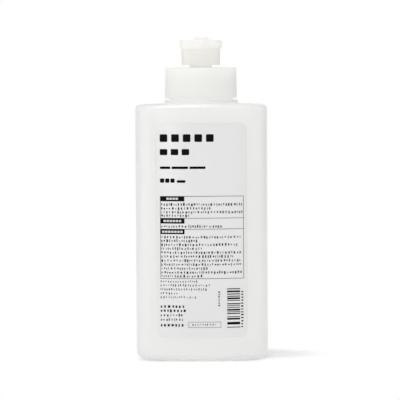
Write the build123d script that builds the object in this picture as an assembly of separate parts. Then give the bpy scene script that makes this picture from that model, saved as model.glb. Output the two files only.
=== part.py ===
# A dish soap bottle with a push-pull screw cap, in millimetres, +Z up.
# The origin is the middle of the foot on the floor. The labelled front faces -Y.

import os
from math import sqrt

from build123d import *

# Bottle body, blown in one piece
body_width = 63.0  # across the broad front
body_depth = 43.0  # from front to back
shoulder_height = 121.4  # floor to the root of the collar
shoulder_fall = 0.7  # from the collar down to the ends of the shoulder
front_radius = 92.0  # plan radius of the bowed front and back
side_radius = 42.0  # plan radius of the bowed ends
corner_radius = 12.5  # plan radius of the corners between them
shoulder_rounding = 2.4  # edge from the shoulder to the walls
foot_rounding = 3.2  # edge from the walls to the foot
blown_wall = 1.0  # thickness of the walls and the shoulder
base_wall = 1.4  # thickness of the base
foot_width = 6.5  # from the outer wall in to the pushed-up base
push_up = 1.6  # rise of the base inside the foot
push_up_rounding = 1.1  # inner edge of the pushed-up base

# Collar and neck
collar_height = 1.55  # ring at the root of the neck
collar_overhang = 0.25  # how far the ring stands out past the cap
collar_rounding = 0.4  # upper edge of the ring
collar_root = 0.6  # hollow edge from the ring to the shoulder
bead_height = 2.2  # thicker part of the neck above the ring
neck_wall = 1.5  # from the bore to the thread's root
thread_depth = 1.1  # room that the thread takes on the neck
thread_clearance = 0.25  # from the thread's crest to the cap
mouth_rounding = 0.4  # edges of the mouth

# Screw cap
cap_gap = 1.0  # open groove between the collar and the skirt
shoulder_ledge = 4.3  # from the body's front in to the skirt's foot
cap_draft = 0.35  # how much the skirt draws in on each side
cap_height = 14.4  # skirt's foot to the deck
skirt_wall = 1.5  # thickness of the skirt
deck_thickness = 1.6  # thickness of the deck
deck_rounding = 0.7  # edge from the skirt to the deck
skirt_rounding = 0.3  # foot of the skirt
mouth_clearance = 0.2  # deck to the mouth
plug_clearance = 0.08  # plug ring to the bore
plug_wall = 0.9  # thickness of the plug ring
plug_length = 3.6  # how far the plug ring reaches into the mouth
plug_lead = 0.35  # bevel at the plug ring's tip

# Stem and closing pin, part of the screw cap
stem_diameter = 10.6  # tube that the nozzle slides on
stem_wall = 1.3  # thickness of the tube
stem_root = 0.5  # hollow edge from the stem to the deck
stop_depth = 0.35  # how far the stop bead stands out of the stem
stop_height = 0.9  # height of the stop bead
stem_lead = 0.6  # tip of the stem above the stop bead
rib_thickness = 1.0  # ribs that carry the pin
rib_height = 2.6  # along the stem
pin_clearance = 0.08  # pin to the outlet hole
pin_recess = 0.3  # pin's tip below the outlet's lip
pin_rounding = 0.4  # pin's tip

# Pull nozzle
nozzle_gap = 1.25  # deck to the nozzle's foot
pull_travel = 4.0  # closed to open
stop_play = 0.2  # spare travel before the stops meet
sleeve_play = 0.08  # sleeve to the stem
sleeve_recess = 0.5  # sleeve's foot above the skirt's foot
sleeve_wall = 1.15  # thickness of the inner sleeve
lip_height = 1.2  # holding lip at the sleeve's foot
hollow_width = 1.15  # between the sleeve and the outer skirt
nozzle_wall = 1.15  # thickness of the outer skirt
rim_overhang = 0.85  # grip rim past the skirt
rim_height = 3.55  # height of the grip rim
rim_ledge = 0.3  # slope under the grip rim
rim_rounding = 0.3  # upper edge of the grip rim
chamber_height = 3.1  # over the stem's tip
nozzle_top = 1.6  # thickness of the nozzle's top
crown_rise = 0.35  # dome of the nozzle's top
boss_diameter = 7.1  # raised outlet
boss_height = 1.25  # outlet's lip above the crown
boss_rounding = 0.6  # edge of the outlet's lip
outlet_diameter = 3.4  # outlet hole
outlet_flare = 0.35  # bevel at the outlet's mouth

# Label film on the front
label_side_margin = 10.0  # body's side to the film's side edge
label_foot_margin = 11.5  # floor to the film's lower edge
label_top_margin = 8.6  # film's upper edge to the shoulder
label_corner = 3.8  # corner radius of the film
label_film = 0.12  # thickness of the film
label_glue = 0.03  # glue between the film and the bottle

# How far cutting shapes run past what they cut
overrun = 5.0
# How near a height or a radius counts as the same
near = 0.001

# Levels and radii that follow from the sizes above
cap_radius = body_depth / 2 - shoulder_ledge
cap_top_radius = cap_radius - cap_draft
collar_radius = cap_radius + collar_overhang
collar_top = shoulder_height + collar_height
bead_top = collar_top + bead_height
cap_foot = collar_top + cap_gap
deck_top = cap_foot + cap_height
deck_under = deck_top - deck_thickness
mouth_top = deck_under - mouth_clearance
bead_radius = cap_top_radius - skirt_wall - thread_clearance
neck_radius = bead_radius - thread_depth
bore_radius = neck_radius - neck_wall
plug_radius = bore_radius - plug_clearance

nozzle_foot = deck_top + nozzle_gap
lip_foot = nozzle_foot + sleeve_recess
lip_top = lip_foot + lip_height
stop_foot = lip_top + pull_travel + stop_play
stop_top = stop_foot + stop_height
stem_top = stop_top + stem_lead
chamber_top = stem_top + chamber_height
crown_foot = chamber_top + nozzle_top - crown_rise
crown_top = chamber_top + nozzle_top
boss_top = crown_top + boss_height
stem_radius = stem_diameter / 2
flow_radius = stem_radius - stem_wall
outlet_radius = outlet_diameter / 2
pin_radius = outlet_radius - pin_clearance
stop_radius = stem_radius + stop_depth
lip_radius = stem_radius + sleeve_play
sleeve_bore = stop_radius + sleeve_play
sleeve_radius = sleeve_bore + sleeve_wall
hollow_radius = sleeve_radius + hollow_width
skirt_radius = hollow_radius + nozzle_wall
rim_radius = skirt_radius + rim_overhang
rim_foot = crown_foot - rim_height
boss_radius = boss_diameter / 2


def plan_outline(inset):
    """The body's plan as one face of tangent arcs, drawn in by inset on every side."""
    half_width = body_width / 2 - inset
    half_depth = body_depth / 2 - inset
    front = front_radius - inset
    side = side_radius - inset
    corner = corner_radius - inset

    # The corner arc lies inside the front arc and the side arc and touches both
    front_centre = Vector(0, front - half_depth)
    side_centre = Vector(half_width - side, 0)
    span = side_centre - front_centre
    reach_front = front - corner
    reach_side = side - corner
    along = (reach_front**2 - reach_side**2 + span.length**2) / (2 * span.length)
    across = sqrt(reach_front**2 - along**2)
    ahead = span.normalized()
    aside = Vector(-ahead.Y, ahead.X)
    corner_centre = front_centre + ahead * along + aside * across

    to_front = (corner_centre - front_centre).normalized()
    to_side = (corner_centre - side_centre).normalized()
    front_join = front_centre + to_front * front
    side_join = side_centre + to_side * side
    corner_middle = corner_centre + (to_front + to_side).normalized() * corner

    front_start = Vector(-front_join.X, front_join.Y)
    side_end = Vector(side_join.X, -side_join.Y)
    front_arc = ThreePointArc(front_start, Vector(0, -half_depth), front_join)
    corner_arc = ThreePointArc(front_join, corner_middle, side_join)
    side_arc = ThreePointArc(side_join, Vector(half_width, 0), side_end)

    right_edges = [corner_arc, side_arc, mirror(corner_arc, Plane.XZ)]
    left_edges = [mirror(edge, Plane.YZ) for edge in right_edges]
    return make_face([front_arc, mirror(front_arc, Plane.XZ)] + right_edges + left_edges)


def turned(points):
    """A solid turned about the bottle's axis from (radius, height) points."""
    profile = Plane.XZ * make_face(Polyline(points, close=True))
    return revolve(profile, Axis.Z)


def round_edges(solid, radius, height):
    """The circular edges of one radius at one height."""
    circles = solid.edges().filter_by(GeomType.CIRCLE)
    same_radius = circles.filter_by(lambda edge: abs(edge.radius - radius) < near)
    return same_radius.filter_by(lambda edge: abs(edge.arc_center.Z - height) < near)


def body_block(inset, floor, foot_round, shoulder_round):
    """The body's form drawn in by inset, standing on floor, with rounded edges."""
    slope = shoulder_fall / (body_width / 2 - collar_radius)
    reach = body_width / 2 + overrun
    peak = shoulder_height + slope * collar_radius - inset
    brink = peak - slope * reach
    block = extrude(Pos(0, 0, floor) * plan_outline(inset), peak - floor)
    block -= turned([(0, peak), (reach, brink), (reach, peak + overrun), (0, peak + overrun)])
    rim = block.edges().filter_by(lambda edge: edge.bounding_box().min.Z > brink - near)
    block = fillet(rim, shoulder_round)
    return fillet(block.edges().group_by(Axis.Z)[0], foot_round)


def make_bottle():
    """Body, collar and neck with the hollow that they share."""
    outside = body_block(0, 0, foot_rounding, shoulder_rounding)
    root = shoulder_height - blown_wall
    outside += turned(
        [
            (0, root),
            (collar_radius, root),
            (collar_radius, collar_top),
            (bead_radius, collar_top),
            (bead_radius, bead_top),
            (neck_radius, bead_top + thread_depth),
            (neck_radius, mouth_top),
            (0, mouth_top),
        ]
    )
    outside = fillet(round_edges(outside, collar_radius, shoulder_height), collar_root)
    outside = fillet(round_edges(outside, collar_radius, collar_top), collar_rounding)
    outside = fillet(round_edges(outside, neck_radius, mouth_top), mouth_rounding)

    # The base is pushed up inside the foot
    dent = extrude(plan_outline(foot_width), push_up)
    dent = fillet(dent.edges().group_by(Axis.Z)[-1], push_up_rounding)

    # The hollow keeps the wall's thickness all round, over the push-up too
    inner_foot = foot_rounding - blown_wall
    inner_shoulder = shoulder_rounding - blown_wall
    hollow = body_block(blown_wall, base_wall, inner_foot, inner_shoulder)
    bump = extrude(plan_outline(foot_width - base_wall), push_up + base_wall)
    bump = fillet(bump.edges().group_by(Axis.Z)[-1], push_up_rounding + base_wall)
    hollow -= bump

    collar_hollow = collar_radius - blown_wall
    hollow += turned(
        [
            (0, root - blown_wall),
            (collar_hollow, root - blown_wall),
            (collar_hollow, collar_top - blown_wall),
            (bore_radius, collar_top - blown_wall),
            (bore_radius, mouth_top),
            (0, mouth_top),
        ]
    )
    bottle = outside - hollow - dent
    bottle = fillet(round_edges(bottle, bore_radius, mouth_top), mouth_rounding)
    print("brimful capacity in mL:", round(hollow.volume / 1000, 1))
    return bottle


def make_screw_cap():
    """Skirt, deck, plug ring, stem with its stop bead, and the pin on its ribs."""
    cap = turned(
        [
            (flow_radius, deck_under),
            (flow_radius, deck_top),
            (cap_top_radius, deck_top),
            (cap_radius, cap_foot),
            (cap_radius - skirt_wall, cap_foot),
            (cap_top_radius - skirt_wall, deck_under),
        ]
    )
    cap = fillet(round_edges(cap, cap_top_radius, deck_top), deck_rounding)
    cap = fillet(round_edges(cap, cap_radius, cap_foot), skirt_rounding)

    plug_foot = deck_under - plug_length
    plug_bore = plug_radius - plug_wall
    cap += turned(
        [
            (plug_bore, deck_under),
            (plug_bore, plug_foot),
            (plug_radius - plug_lead, plug_foot),
            (plug_radius, plug_foot + plug_lead),
            (plug_radius, deck_under),
        ]
    )

    # The stop bead has a square underside and a sloped top, so the nozzle snaps on
    cap += turned(
        [
            (flow_radius, deck_under),
            (stem_radius, deck_under),
            (stem_radius, stop_foot),
            (stop_radius, stop_foot),
            (stop_radius, (stop_foot + stop_top) / 2),
            (stem_radius, stop_top),
            (stem_radius - stop_depth, stem_top),
            (flow_radius, stem_top),
        ]
    )
    cap = fillet(round_edges(cap, stem_radius, deck_top), stem_root)

    # Three ribs across the flow hold the pin that closes the outlet
    rib_foot = stem_top - rib_height
    pin_top = boss_top - pin_recess
    rib_length = stem_radius - stem_wall / 2
    rib = Pos(rib_length / 2, 0, rib_foot + rib_height / 2) * Box(rib_length, rib_thickness, rib_height)
    pin = turned([(0, rib_foot), (pin_radius, rib_foot), (pin_radius, pin_top), (0, pin_top)])
    pin = fillet(round_edges(pin, pin_radius, pin_top), pin_rounding)
    for turn in (90, 210, 330):
        cap += Rot(0, 0, turn) * rib
    return cap + pin


def make_pull_nozzle():
    """Outer skirt, grip rim, crown, outlet boss and the sleeve on the stem."""
    nozzle = turned(
        [
            (hollow_radius, nozzle_foot),
            (skirt_radius, nozzle_foot),
            (skirt_radius, rim_foot - rim_ledge),
            (rim_radius, rim_foot),
            (rim_radius, crown_foot),
            (boss_radius, crown_top),
            (boss_radius, boss_top),
            (outlet_radius + outlet_flare, boss_top),
            (outlet_radius, boss_top - outlet_flare),
            (outlet_radius, chamber_top),
            (sleeve_bore, chamber_top),
            (sleeve_bore, lip_top),
            (lip_radius, lip_top),
            (lip_radius, lip_foot),
            (sleeve_radius, lip_foot),
            (sleeve_radius, chamber_top),
            (hollow_radius, chamber_top),
        ]
    )
    nozzle = fillet(round_edges(nozzle, rim_radius, crown_foot), rim_rounding)
    return fillet(round_edges(nozzle, boss_radius, boss_top), boss_rounding)


def make_front_label():
    """The film that follows the bowed front, with rounded corners."""
    width = body_width - 2 * label_side_margin
    height = shoulder_height - label_top_margin - label_foot_margin
    middle = label_foot_margin + height / 2
    outer = extrude(plan_outline(-label_glue - label_film), shoulder_height)
    inner = extrude(plan_outline(-label_glue), shoulder_height)
    window = Plane.XZ * (Pos(0, middle) * RectangleRounded(width, height, label_corner))
    return (outer - inner) & extrude(window, body_depth)


os.makedirs("parts", exist_ok=True)
export_step(make_bottle(), "parts/bottle.step")
export_step(make_screw_cap(), "parts/screw_cap.step")
export_step(make_pull_nozzle(), "parts/pull_nozzle.step")
export_step(make_front_label(), "parts/front_label.step")
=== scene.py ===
import math
import random

import bmesh
import bpy
from mathutils import Matrix, Vector
from mathutils.bvhtree import BVHTree


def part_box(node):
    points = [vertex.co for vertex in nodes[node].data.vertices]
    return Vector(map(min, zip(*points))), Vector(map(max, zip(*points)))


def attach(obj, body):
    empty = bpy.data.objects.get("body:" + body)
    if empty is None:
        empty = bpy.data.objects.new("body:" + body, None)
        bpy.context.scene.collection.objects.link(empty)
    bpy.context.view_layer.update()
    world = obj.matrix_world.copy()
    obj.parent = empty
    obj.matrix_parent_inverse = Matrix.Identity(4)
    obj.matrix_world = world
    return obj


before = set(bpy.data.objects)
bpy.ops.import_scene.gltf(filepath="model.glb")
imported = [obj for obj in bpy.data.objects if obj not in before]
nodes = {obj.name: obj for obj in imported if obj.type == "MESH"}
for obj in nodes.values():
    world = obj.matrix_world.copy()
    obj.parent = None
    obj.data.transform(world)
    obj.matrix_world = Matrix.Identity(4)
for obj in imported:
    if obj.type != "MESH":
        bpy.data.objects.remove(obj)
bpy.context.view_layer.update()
scene = bpy.context.scene
scene.view_settings.view_transform = "Standard"
mm = 0.001
print("frame loaded:", ", ".join(sorted(nodes)))


# small helpers for node trees

def addNode(tree, kind, **inputs):
    node = tree.nodes.new(kind)
    for name, value in inputs.items():
        node.inputs[name.replace("_", " ")].default_value = value
    return node


def addMath(tree, operation, first, second=None):
    node = tree.nodes.new("ShaderNodeMath")
    node.operation = operation
    for index, value in enumerate((first, second)):
        if value is None:
            continue
        if isinstance(value, (int, float)):
            node.inputs[index].default_value = value
        else:
            tree.links.new(value, node.inputs[index])
    return node.outputs[0]


def addVectorMath(tree, operation, first, second=(0, 0, 0)):
    node = tree.nodes.new("ShaderNodeVectorMath")
    node.operation = operation
    tree.links.new(first, node.inputs[0])
    node.inputs[1].default_value = second
    return node.outputs["Value" if operation == "LENGTH" else "Vector"]


def smoothFade(tree, value, start, end):
    node = addNode(tree, "ShaderNodeMapRange", From_Min=start, From_Max=end)
    node.interpolation_type = "SMOOTHSTEP"
    tree.links.new(value, node.inputs["Value"])
    return node.outputs["Result"]


def mixShaders(tree, share, first, second):
    node = tree.nodes.new("ShaderNodeMixShader")
    tree.links.new(share, node.inputs["Fac"])
    tree.links.new(first.outputs[0], node.inputs[1])
    tree.links.new(second.outputs[0], node.inputs[2])
    return node


def seenRays(tree):  # 1 for what the camera sees, straight, in a reflection or through plastic
    rays = tree.nodes.new("ShaderNodeLightPath").outputs
    seen = addMath(tree, "MAXIMUM", rays["Is Camera Ray"], rays["Is Glossy Ray"])
    return addMath(tree, "MAXIMUM", seen, rays["Is Transmission Ray"])


def newMaterial(name):
    material = bpy.data.materials.new(name)
    material.use_nodes = True
    tree = material.node_tree
    tree.nodes.clear()
    out = tree.nodes.new("ShaderNodeOutputMaterial")
    return material, tree, out.inputs["Surface"]


# small helpers for objects

def paint(obj, material):
    obj.data.materials.clear()
    obj.data.materials.append(material)


def newObject(name, bm):
    mesh = bpy.data.meshes.new(name)
    bm.to_mesh(mesh)
    bm.free()
    obj = bpy.data.objects.new(name, mesh)
    scene.collection.objects.link(obj)
    return obj


def newPiece(name, bm, material, body):
    bmesh.ops.recalc_face_normals(bm, faces=bm.faces)
    obj = newObject(name, bm)
    paint(obj, material)
    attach(obj, body)


# milky plastic: slow clouds in the tint, a fine skin and uneven gloss

milkySkin = {
    "cloudDetail": 3.0,
    "cloudRough": 0.5,
    "skinDetail": 4.0,
    "skinRough": 0.6,
    "cloudLow": 0.3,  # the clouds between these two drive the gloss
    "cloudHigh": 0.7,
    "ior": 1.5,
}


def buildMilkyGroup():
    group = bpy.data.node_groups.new("milkySkin", "ShaderNodeTree")
    given = {"Coords": "Vector", "Tint": "Color", "Deep Tint": "Color"}
    given.update({name: "Float" for name in ("Cloud Scale", "Skin Scale", "Gloss Low", "Gloss High")})
    for name, kind in given.items():
        group.interface.new_socket(name, in_out="INPUT", socket_type="NodeSocket" + kind)
    for name, kind in {"Color": "Color", "Roughness": "Float", "Height": "Float"}.items():
        group.interface.new_socket(name, in_out="OUTPUT", socket_type="NodeSocket" + kind)
    links = group.links
    inside = group.nodes.new("NodeGroupInput").outputs
    outside = group.nodes.new("NodeGroupOutput").inputs

    cloud = addNode(
        group, "ShaderNodeTexNoise", Detail=milkySkin["cloudDetail"], Roughness=milkySkin["cloudRough"],
    )
    links.new(inside["Coords"], cloud.inputs["Vector"])
    links.new(inside["Cloud Scale"], cloud.inputs["Scale"])
    tint = group.nodes.new("ShaderNodeMix")
    tint.data_type = "RGBA"
    links.new(cloud.outputs["Fac"], tint.inputs["Factor"])
    links.new(inside["Deep Tint"], tint.inputs["A"])
    links.new(inside["Tint"], tint.inputs["B"])
    links.new(tint.outputs["Result"], outside["Color"])

    skin = addNode(
        group, "ShaderNodeTexNoise", Detail=milkySkin["skinDetail"], Roughness=milkySkin["skinRough"],
    )
    links.new(inside["Coords"], skin.inputs["Vector"])
    links.new(inside["Skin Scale"], skin.inputs["Scale"])
    links.new(skin.outputs["Fac"], outside["Height"])

    gloss = addNode(
        group, "ShaderNodeMapRange", From_Min=milkySkin["cloudLow"], From_Max=milkySkin["cloudHigh"],
    )
    links.new(cloud.outputs["Fac"], gloss.inputs["Value"])
    links.new(inside["Gloss Low"], gloss.inputs["To Min"])
    links.new(inside["Gloss High"], gloss.inputs["To Max"])
    links.new(gloss.outputs["Result"], outside["Roughness"])
    return group


milkyGroup = buildMilkyGroup()


def milkyMaterial(name, look):
    material, tree, surface = newMaterial(name)
    coords = tree.nodes.new("ShaderNodeTexCoord").outputs["Object"]
    skin = tree.nodes.new("ShaderNodeGroup")
    skin.node_tree = milkyGroup
    tree.links.new(coords, skin.inputs["Coords"])
    skin.inputs["Tint"].default_value = (*look["tint"], 1)
    skin.inputs["Deep Tint"].default_value = (*look["deepTint"], 1)
    skin.inputs["Cloud Scale"].default_value = look["cloudScale"]
    skin.inputs["Skin Scale"].default_value = look["skinScale"]
    skin.inputs["Gloss Low"].default_value = look["glossLow"]
    skin.inputs["Gloss High"].default_value = look["glossHigh"]
    bump = addNode(tree, "ShaderNodeBump", Strength=look["bump"], Distance=look["bumpDepth"])
    tree.links.new(skin.outputs["Height"], bump.inputs["Height"])

    shader = addNode(
        tree, "ShaderNodeBsdfPrincipled", Specular_IOR_Level=look["specular"], IOR=milkySkin["ior"],
    )
    tree.links.new(skin.outputs["Color"], shader.inputs["Base Color"])
    tree.links.new(skin.outputs["Roughness"], shader.inputs["Roughness"])
    tree.links.new(bump.outputs["Normal"], shader.inputs["Normal"])
    glow = tree.nodes.new("ShaderNodeBsdfTranslucent")  # light that comes through the wall
    tree.links.new(skin.outputs["Color"], glow.inputs["Color"])
    tree.links.new(bump.outputs["Normal"], glow.inputs["Normal"])
    blend = addNode(tree, "ShaderNodeMixShader", Fac=look["through"])
    tree.links.new(shader.outputs["BSDF"], blend.inputs[1])
    tree.links.new(glow.outputs["BSDF"], blend.inputs[2])
    tree.links.new(blend.outputs["Shader"], surface)
    return material, tree, shader, coords, bump


# bottle: blown polyethylene, with the mould's fine parting line up both ends

bottleLook = {
    "tint": (0.997, 0.997, 0.994),
    "deepTint": (0.982, 0.982, 0.979),
    "cloudScale": 45.0,
    "skinScale": 900.0,
    "glossLow": 0.28,
    "glossHigh": 0.36,
    "bump": 0.08,
    "bumpDepth": 0.0004,
    "through": 0.54,
    "specular": 0.5,
    "seamWidth": 0.00012,
    "seamDepth": 0.00005,
    "seamStrength": 0.5,
}

bottleMaterial, tree, shader, coords, bump = milkyMaterial("milkyBottle", bottleLook)
split = tree.nodes.new("ShaderNodeSeparateXYZ")
tree.links.new(coords, split.inputs[0])
off = addMath(tree, "ABSOLUTE", split.outputs["Y"])
seam = addMath(tree, "DIVIDE", off, bottleLook["seamWidth"])
seam = addMath(tree, "SUBTRACT", 1.0, seam)
seam = addMath(tree, "MAXIMUM", seam, 0.0)
ridge = addNode(
    tree, "ShaderNodeBump", Strength=bottleLook["seamStrength"], Distance=bottleLook["seamDepth"],
)
tree.links.new(seam, ridge.inputs["Height"])
tree.links.new(bump.outputs["Normal"], ridge.inputs["Normal"])
tree.links.new(ridge.outputs["Normal"], shader.inputs["Normal"])
paint(nodes["bottle"], bottleMaterial)

# screw cap and nozzle: moulded, with a finer skin than the blown bottle

capLook = {
    "tint": (0.992, 0.992, 0.986),
    "deepTint": (0.98, 0.98, 0.972),
    "cloudScale": 70.0,
    "skinScale": 1400.0,
    "glossLow": 0.22,
    "glossHigh": 0.28,
    "bump": 0.05,
    "bumpDepth": 0.0003,
    "through": 0.72,
    "specular": 0.6,
}
capMaterial = milkyMaterial("milkyCap", capLook)[0]
paint(nodes["screw_cap"], capMaterial)

nozzleLook = {
    "tint": (0.996, 0.993, 0.985),
    "deepTint": (0.984, 0.98, 0.97),
    "cloudScale": 90.0,
    "skinScale": 1400.0,
    "glossLow": 0.38,
    "glossHigh": 0.46,
    "bump": 0.05,
    "bumpDepth": 0.0003,
    "through": 0.66,
    "specular": 0.6,
}
nozzleMaterial = milkyMaterial("milkyNozzle", nozzleLook)[0]
paint(nodes["pull_nozzle"], nozzleMaterial)

# label film: thin satin film, a shade greyer than the bottle under it

filmLook = {
    "tint": (0.949, 0.941, 0.94),
    "deepTint": (0.935, 0.928, 0.928),
    "cloudScale": 60.0,
    "skinScale": 1100.0,
    "glossLow": 0.24,
    "glossHigh": 0.27,
    "bump": 0.04,
    "bumpDepth": 0.0002,
    "through": 0.11,
    "specular": 0.5,
}
filmMaterial = milkyMaterial("labelFilm", filmLook)[0]
paint(nodes["front_label"], filmMaterial)
print("plastics and film painted")


# print on the film: plain blocks, dashes, rules and stripes, with nothing to read

printLook = {
    "ink": (0.003, 0.003, 0.0034),
    "deepInk": (0.002, 0.002, 0.0022),
    "paper": (0.80, 0.80, 0.80),  # the light marks in the dark heads
    "glossLow": 0.4,
    "glossHigh": 0.5,
    "specular": 0.06,
    "thickness": 0.06,  # millimetres, as all sizes of the print
    "sunk": 0.02,  # how far the back of the ink lies in the film
    "stretch": 1.6,  # longest straight run round the bow
    "rounding": 0.5,
    "roundSteps": 3,
    "roundProfile": 0.5,  # a plain arc
    "rayStart": -1.0,  # metres, well before the film
    "seed": 11,
}
inkLook = dict(filmLook, tint=printLook["ink"], deepTint=printLook["deepInk"], through=0.0)
inkLook.update({name: printLook[name] for name in ("glossLow", "glossHigh", "specular")})
inkMaterial = milkyMaterial("labelInk", inkLook)[0]
paperLook = dict(filmLook, tint=printLook["paper"], deepTint=printLook["paper"])
paperMaterial = milkyMaterial("labelBlank", paperLook)[0]

labelMesh = nodes["front_label"].data
labelPoints = [v.co for v in labelMesh.vertices]
labelTree = BVHTree.FromPolygons(labelPoints, [p.vertices for p in labelMesh.polygons])
draw = random.Random(printLook["seed"])


def inkBar(bm, left, right, low, high, rounding=0.0):
    depth = printLook["thickness"]
    size = Matrix.Diagonal((right - left, depth, high - low, 1))
    place = Matrix.Translation(((left + right) / 2, -depth / 2, (low + high) / 2))
    made = bmesh.ops.create_cube(bm, size=1, matrix=place @ size)["verts"]
    edges = list({e for v in made for e in v.link_edges})
    corners = [e for e in edges if abs(e.verts[0].co.y - e.verts[1].co.y) > depth / 2]
    runs = [e for e in edges if abs(e.verts[0].co.x - e.verts[1].co.x) > (right - left) / 2]
    cuts = int((right - left) / printLook["stretch"])
    if cuts:
        bmesh.ops.subdivide_edges(bm, edges=runs, cuts=cuts, use_grid_fill=True)
    if rounding:
        bmesh.ops.bevel(
            bm, geom=corners, offset=rounding, segments=printLook["roundSteps"],
            profile=printLook["roundProfile"], affect="EDGES", material=-1,
        )


def layOnFilm(bm, lift=0.0):
    bmesh.ops.scale(bm, vec=(mm, mm, mm), verts=bm.verts)
    for vert in bm.verts:
        start = Vector((vert.co.x, printLook["rayStart"], vert.co.z))
        hit = labelTree.ray_cast(start, Vector((0, 1, 0)))[0]
        vert.co.y += hit.y + (printLook["sunk"] - lift) * mm


def blockRow(bm, left, right, middle, height, count, gap, rounding=0.0):
    width = (right - left - (count - 1) * gap) / count
    for index in range(count):
        x = left + index * (width + gap)
        inkBar(bm, x, x + width, middle - height / 2, middle + height / 2, rounding)


def dashes(start, end, look):
    place = start
    while place < end - look["gap"][0]:
        run = min(draw.uniform(*look["run"]), end - place)
        half = draw.uniform(*look["height"]) / 2
        drift = draw.uniform(-look["drift"], look["drift"])
        yield place, place + run, drift - half, drift + half
        place += run + draw.uniform(*look["gap"])


def dashRow(bm, left, right, middle, look):
    for x0, x1, below, above in dashes(left, right, look):
        inkBar(bm, x0, x1, middle + below, middle + above)


def dashColumn(bm, low, high, middle, look):
    for z0, z1, before, behind in dashes(low, high, look):
        inkBar(bm, middle + before, middle + behind, z0, z1)


def outlineBox(bm, left, right, low, high, line):
    inkBar(bm, left, right, low, low + line)
    inkBar(bm, left, right, high - line, high)
    inkBar(bm, left, left + line, low + line, high - line)
    inkBar(bm, right - line, right, low + line, high - line)


# top of the label: two rows of blocks, a row of bars and a short row of both
titlePlan = {
    "rows": [  # left, right, middle, height, blocks, gap
        (-19.5, 5.8, 105.65, 3.6, 5, 1.85),
        (-19.5, -5.7, 99.1, 2.85, 3, 1.6),
        (-19.5, -12.6, 85.7, 2.0, 3, 0.45),
    ],
    "bars": [  # left, right, middle, height
        (-19.5, -14.6, 91.75, 1.15),
        (-14.0, -6.2, 91.75, 1.15),
        (-5.6, 2.0, 91.75, 1.15),
        (-11.6, -7.5, 85.3, 1.2),
    ],
    "barRoundShare": 0.4,  # of the bar's height
}
bm = bmesh.new()
for row in titlePlan["rows"]:
    blockRow(bm, *row, rounding=printLook["rounding"])
for left, right, middle, height in titlePlan["bars"]:
    rounding = height * titlePlan["barRoundShare"]
    inkBar(bm, left, right, middle - height / 2, middle + height / 2, rounding)
layOnFilm(bm)
newPiece("print_title", bm, inkMaterial, "bottle_body")

# ruled box with light marks in its three dark heads, and the small box at the foot
boxPlan = {
    "sides": (-19.5, 19.75, 39.4, 78.4),
    "rules": [67.9, 62.75],
    "line": 0.2,
    "heads": [(76.0, 78.4, 4), (65.5, 67.9, 6), (60.5, 62.75, 7)],  # low, high, light marks
    "headWidth": 11.4,
    "markWidth": 1.15,
    "markGap": 0.28,
    "markHeight": 0.95,
    "smallSides": (-6.4, 8.9, 16.3, 19.0),
    "smallLine": 0.15,
}
bm = bmesh.new()
marks = bmesh.new()
left, right, bottom, top = boxPlan["sides"]
outlineBox(bm, left, right, bottom, top, boxPlan["line"])
for z in boxPlan["rules"]:
    inkBar(bm, left, right, z, z + boxPlan["line"])
headMiddle = left + boxPlan["headWidth"] / 2
markStep = boxPlan["markWidth"] + boxPlan["markGap"]
for low, high, count in boxPlan["heads"]:
    inkBar(bm, left, left + boxPlan["headWidth"], low, high)
    half = (count * markStep - boxPlan["markGap"]) / 2
    row = (headMiddle - half, headMiddle + half, (low + high) / 2)
    blockRow(marks, *row, boxPlan["markHeight"], count, boxPlan["markGap"])
outlineBox(bm, *boxPlan["smallSides"], boxPlan["smallLine"])
layOnFilm(bm)
newPiece("print_frame", bm, inkMaterial, "bottle_body")
layOnFilm(marks, printLook["thickness"] / 2)
newPiece("print_heading_marks", marks, paperMaterial, "bottle_body")

# small print: rows of short dashes
smallPlan = {
    "boxedStart": -19.0,
    "boxedRows": [  # middle, right end
        (74.45, 19.1), (72.6, 5.1), (70.8, 19.1), (69.15, -4.7), (64.1, 10.0), (59.0, 19.1),
        (57.3, -2.2), (55.45, 17.0), (53.65, 0.8), (51.8, 19.1), (49.95, 14.8), (48.0, 19.1),
        (46.15, 19.1), (44.3, 2.6), (42.4, 19.1), (40.65, 0.1),
    ],
    "openStart": -19.5,
    "openRows": [(38.1, -1.3), (36.3, 3.9), (34.45, 2.3), (32.55, -10.9), (30.7, -2.7)],
    "footRows": [  # middle, right end, kind of dash
        (26.25, -7.5, "boldDash"),
        (24.25, -6.4, "boldDash"),
        (22.15, -9.2, "dash"),
        (20.1, -8.8, "dash"),
        (17.4, -8.8, "boldDash"),
    ],
    "inSmallBox": (-4.6, 7.2, 17.65),  # left, right, middle
    "besideStripes": (16.3, 34.5, 18.9),  # low, high, middle
    "alone": (26.5, 34.4, 8.0),
    "dash": {"run": (0.28, 0.75), "gap": (0.45, 1.0), "height": (0.5, 1.35), "drift": 0.15},
    "boldDash": {"run": (0.6, 1.1), "gap": (0.6, 1.05), "height": (0.9, 1.4), "drift": 0.1},
    "fineDash": {"run": (0.25, 0.55), "gap": (0.5, 1.0), "height": (0.4, 1.1), "drift": 0.15},
    "tick": {"run": (0.45, 0.7), "gap": (0.7, 0.9), "height": (0.8, 1.3), "drift": 0.1},
    "fineTick": {"run": (0.3, 0.6), "gap": (0.45, 0.7), "height": (0.5, 0.9), "drift": 0.1},
}
bm = bmesh.new()
for z, end in smallPlan["boxedRows"]:
    dashRow(bm, smallPlan["boxedStart"], end, z, smallPlan["dash"])
for z, end in smallPlan["openRows"]:
    dashRow(bm, smallPlan["openStart"], end, z, smallPlan["fineDash"])
for z, end, kind in smallPlan["footRows"]:
    dashRow(bm, smallPlan["openStart"], end, z, smallPlan[kind])
dashRow(bm, *smallPlan["inSmallBox"], smallPlan["fineDash"])
dashColumn(bm, *smallPlan["besideStripes"], smallPlan["tick"])
dashColumn(bm, *smallPlan["alone"], smallPlan["fineTick"])
layOnFilm(bm)
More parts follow.
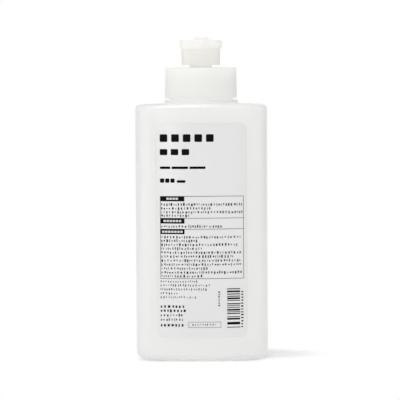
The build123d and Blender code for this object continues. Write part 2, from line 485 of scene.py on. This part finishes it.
newPiece("print_lines", bm, inkMaterial, "bottle_body")

# stripes at the foot of the label
stripePlan = {
    "sides": (11.8, 17.9, 16.2, 34.8),
    "runs": (0.35, 0.45, 0.8, 1.2),
    "gaps": (0.4, 0.6, 1.1),
    "shortest": 0.35,
}
bm = bmesh.new()
left, right, low, high = stripePlan["sides"]
z = low
while z < high - stripePlan["shortest"]:
    run = draw.choice(stripePlan["runs"])
    inkBar(bm, left, right, z, min(z + run, high))
    z += run + draw.choice(stripePlan["gaps"])
layOnFilm(bm)
newPiece("print_stripes", bm, inkMaterial, "bottle_body")
print("label printed")


# thread on the neck, under the cap

neckThread = {
    "root": 13.9 * mm,
    "crest": 14.95 * mm,
    "pitch": 4.0 * mm,
    "turns": 1.5,
    "start": 127.6 * mm,
    "foot": 1.6 * mm,
    "tip": 0.7 * mm,
    "steps": 96,
}
bm = bmesh.new()
profile = [
    bm.verts.new((neckThread["root"], 0, neckThread["start"] - neckThread["foot"] / 2)),
    bm.verts.new((neckThread["crest"], 0, neckThread["start"] - neckThread["tip"] / 2)),
    bm.verts.new((neckThread["crest"], 0, neckThread["start"] + neckThread["tip"] / 2)),
    bm.verts.new((neckThread["root"], 0, neckThread["start"] + neckThread["foot"] / 2)),
]
firstFace = bm.faces.new(profile)
rise = neckThread["pitch"] * neckThread["turns"] / neckThread["steps"]
bmesh.ops.spin(
    bm, geom=[firstFace, *firstFace.edges, *firstFace.verts], cent=(0, 0, 0), axis=(0, 0, 1),
    dvec=(0, 0, rise), angle=2 * math.pi * neckThread["turns"], steps=neckThread["steps"],
    use_duplicate=False,
)
newPiece("neck_thread", bm, bottleMaterial, "bottle_body")
print("neck thread cut")


# floor: pale, plain white away from the object, and it keeps the shadow

stageLook = {
    "floorSize": 6.0,
    "floorCells": 4,
    "floorColor": (0.89, 0.89, 0.89, 1),
    "floorGlow": 0.06,
    "fadeCentre": (0.018, 0.0065, 0),
    "fadeShape": (1, 0.5, 1),
    "fadeStart": 0.022,  # past here the floor goes over into plain white
    "fadeEnd": 0.047,
    "footRound": 0.012,
    "contactStart": -0.006,  # the same, measured from the outline of the foot
    "contactEnd": 0.0015,
    "ambient": 0.693,
}

bm = bmesh.new()
cells = stageLook["floorCells"]
bmesh.ops.create_grid(bm, x_segments=cells, y_segments=cells, size=stageLook["floorSize"] / 2)
floor = newObject("floor", bm)

floorMaterial, tree, surface = newMaterial("paleFloor")
matte = addNode(tree, "ShaderNodeBsdfDiffuse", Color=stageLook["floorColor"])
glow = addNode(tree, "ShaderNodeEmission", Strength=stageLook["floorGlow"])
both = tree.nodes.new("ShaderNodeAddShader")
tree.links.new(matte.outputs[0], both.inputs[0])
tree.links.new(glow.outputs[0], both.inputs[1])
white = addNode(tree, "ShaderNodeEmission", Strength=1.0)
coords = tree.nodes.new("ShaderNodeTexCoord").outputs["Object"]
shift = addNode(
    tree, "ShaderNodeMapping", Location=stageLook["fadeCentre"], Scale=stageLook["fadeShape"],
)
shift.vector_type = "TEXTURE"
tree.links.new(coords, shift.inputs["Vector"])
away = addVectorMath(tree, "LENGTH", shift.outputs["Vector"])
fade = smoothFade(tree, away, stageLook["fadeStart"], stageLook["fadeEnd"])

# distance from the foot's outline, as a box with round corners
footLow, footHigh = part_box("bottle")
footRound = stageLook["footRound"]
core = [(high - low) / 2 - footRound for low, high in zip(footLow[:2], footHigh[:2])]
fold = addVectorMath(tree, "ABSOLUTE", coords)
past = addVectorMath(tree, "SUBTRACT", fold, (*core, 0))
outer = addVectorMath(tree, "MAXIMUM", past)
beyond = addVectorMath(tree, "LENGTH", outer)
contact = smoothFade(
    tree, beyond, footRound + stageLook["contactStart"], footRound + stageLook["contactEnd"],
)
clear = mixShaders(tree, addMath(tree, "MINIMUM", fade, contact), both, white)
shown = mixShaders(tree, seenRays(tree), matte, clear)
tree.links.new(shown.outputs[0], surface)
paint(floor, floorMaterial)

# four dark cards round the object, out of sight, that draw its pale edges
cardLook = {
    "count": 4,
    "away": 0.6,
    "width": 0.36,
    "height": 0.6,
    "color": (0.06, 0.06, 0.06, 1),
    "roughness": 1.0,
}
bm = bmesh.new()
upright = Matrix.Rotation(math.pi / 2, 4, "X")
stand = Matrix.Translation((0, cardLook["away"], cardLook["height"] / 2)) @ upright
size = Matrix.Diagonal((cardLook["width"], cardLook["height"], 1, 1))
for step in range(cardLook["count"]):
    turn = Matrix.Rotation((step + 0.5) * 2 * math.pi / cardLook["count"], 4, "Z")
    bmesh.ops.create_grid(bm, x_segments=1, y_segments=1, size=0.5, matrix=turn @ stand @ size)
cards = newObject("edgeCards", bm)
cards.visible_camera = False
cardMaterial, tree, surface = newMaterial("darkCard")
shader = addNode(
    tree, "ShaderNodeBsdfPrincipled", Base_Color=cardLook["color"], Roughness=cardLook["roughness"],
)
tree.links.new(shader.outputs["BSDF"], surface)
paint(cards, cardMaterial)

# a dark ring that only reflections see, for the edges that face up
ringLook = {"radius": 0.6, "low": 0.13, "high": 0.7, "segments": 48}
bm = bmesh.new()
bmesh.ops.create_cone(
    bm, cap_ends=False, segments=ringLook["segments"],
    radius1=ringLook["radius"], radius2=ringLook["radius"], depth=ringLook["high"] - ringLook["low"],
    matrix=Matrix.Translation((0, 0, (ringLook["low"] + ringLook["high"]) / 2)),
)
ring = newObject("edgeRing", bm)
ring.visible_camera = False
ring.visible_diffuse = False
ring.visible_transmission = False
ring.visible_shadow = False
paint(ring, cardMaterial)

# white all round, dimmer as a light than as it is seen
world = bpy.data.worlds.new("studio")
world.use_nodes = True
scene.world = world
tree = world.node_tree
tree.nodes.clear()
out = tree.nodes.new("ShaderNodeOutputWorld")
sky = addNode(tree, "ShaderNodeBackground", Color=(1, 1, 1, 1))
strength = addMath(tree, "MULTIPLY", seenRays(tree), 1.0 - stageLook["ambient"])
strength = addMath(tree, "ADD", strength, stageLook["ambient"])
tree.links.new(strength, sky.inputs["Strength"])
tree.links.new(sky.outputs[0], out.inputs["Surface"])

# soft boxes, all turned to the middle of the object
lampLook = {  # place, size, power
    "frontBox": ((-0.65, -1.45, 0.12), (0.45, 0.4), 4.6),
    "frontStrip": ((0.3, -1.6, 0.12), (1.4, 0.3), 3.6),
    "leftBox": ((-1.3, -0.1, 0.5), (0.5, 1.0), 3.0),
    "rightBox": ((1.3, -0.1, 0.5), (0.5, 1.0), 1.65),
    "topBox": ((0.0, -0.1, 1.6), (0.6, 0.6), 4.0),
    "backBox": ((0.0, 1.3, 0.7), (1.2, 0.8), 5.0),
    "edgeBox": ((-0.2, -0.1, 1.6), (0.5, 0.5), 22.0),
}
lampAim = Vector((0, 0, 0.08))
glossOnly = ["edgeBox"]  # seen in reflections alone, for the light line along the shoulder
for name, (place, size, power) in lampLook.items():
    light = bpy.data.lights.new(name, "AREA")
    light.shape = "RECTANGLE"
    light.size, light.size_y = size
    light.energy = power
    lamp = bpy.data.objects.new(name, light)
    scene.collection.objects.link(lamp)
    lamp.location = place
    aim = lampAim - Vector(place)
    lamp.rotation_euler = aim.to_track_quat("-Z", "Y").to_euler()
    lamp.visible_diffuse = name not in glossOnly
    lamp.visible_transmission = name not in glossOnly

cameraLook = {
    "place": (-0.000735, -1.05, 0.1467),
    "pitch": 3.9,  # degrees down
    "roll": -0.31,
    "lens": 197.8,
    "sensor": 36.0,
}
camera = bpy.data.cameras.new("camera")
camera.sensor_width = cameraLook["sensor"]
camera.lens = cameraLook["lens"]
cameraObject = bpy.data.objects.new("camera", camera)
scene.collection.objects.link(cameraObject)
pitch = Matrix.Rotation(math.radians(90 - cameraLook["pitch"]), 4, "X")
roll = Matrix.Rotation(math.radians(cameraLook["roll"]), 4, "Z")
cameraObject.matrix_world = Matrix.Translation(cameraLook["place"]) @ pitch @ roll
scene.camera = cameraObject

# light passes many milky walls before it comes out again
bounceLook = {"all": 32, "diffuse": 16, "through": 32}
scene.cycles.max_bounces = bounceLook["all"]
scene.cycles.diffuse_bounces = bounceLook["diffuse"]
scene.cycles.transmission_bounces = bounceLook["through"]
print("stage, light and camera set")
